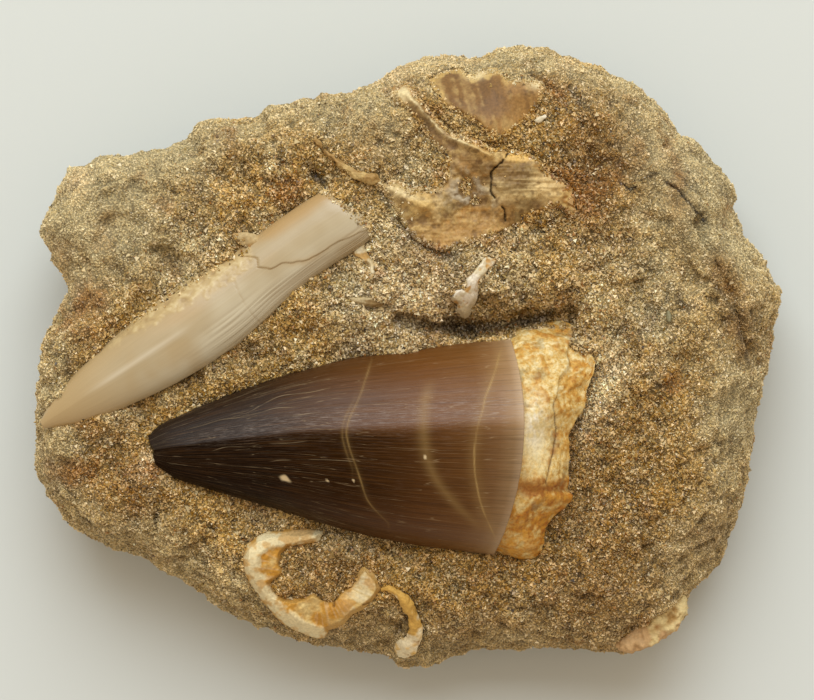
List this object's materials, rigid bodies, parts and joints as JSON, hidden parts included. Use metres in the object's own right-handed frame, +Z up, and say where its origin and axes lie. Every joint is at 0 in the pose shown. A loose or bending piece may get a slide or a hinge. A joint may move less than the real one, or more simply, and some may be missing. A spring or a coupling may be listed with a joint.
{
  "type": "fossil mosasaur tooth in matrix",
  "caption": "Conical dark mosasaur tooth with a broken cream root, half sunk in a loose block of phosphate sandstone beside a fish fang and bone fragments.",
  "frame": {"origin": "middle of the block's bounding box, on the surface that it lies on", "axes": "+Z up, out of the face that shows the fossils; +X from the mosasaur tooth's tip towards its root, along the block's long side; +Y towards the fish bone"},
  "size_m": [0.1031, 0.0862, 0.034],
  "materials": {
    "sandstone": "rough, sandy, unpolished phosphate sandstone",
    "enamel": "smooth, dark, softly shining fossil enamel; the root is rough cream bone",
    "fang_enamel": "smooth cream fossil enamel",
    "brown_bone": "dull brown fossil bone",
    "cream_bone": "dull cream and ochre fossil bone",
    "white_bone": "chalky white bone and shell"
  },
  "bodies": {
    "root": {"matrix_block": "sandstone", "mosasaur_tooth": "enamel", "fish_fang": "fang_enamel", "fish_bone": "brown_bone", "bone_plate": "brown_bone", "ring_bone": "cream_bone", "crescent_bone": "cream_bone", "rim_bone": "cream_bone", "bone_strip": "brown_bone", "white_sliver": "white_bone", "forked_sliver": "white_bone", "flat_sliver": "white_bone", "shell_chip": "white_bone"}
  },
  "joints": []
}
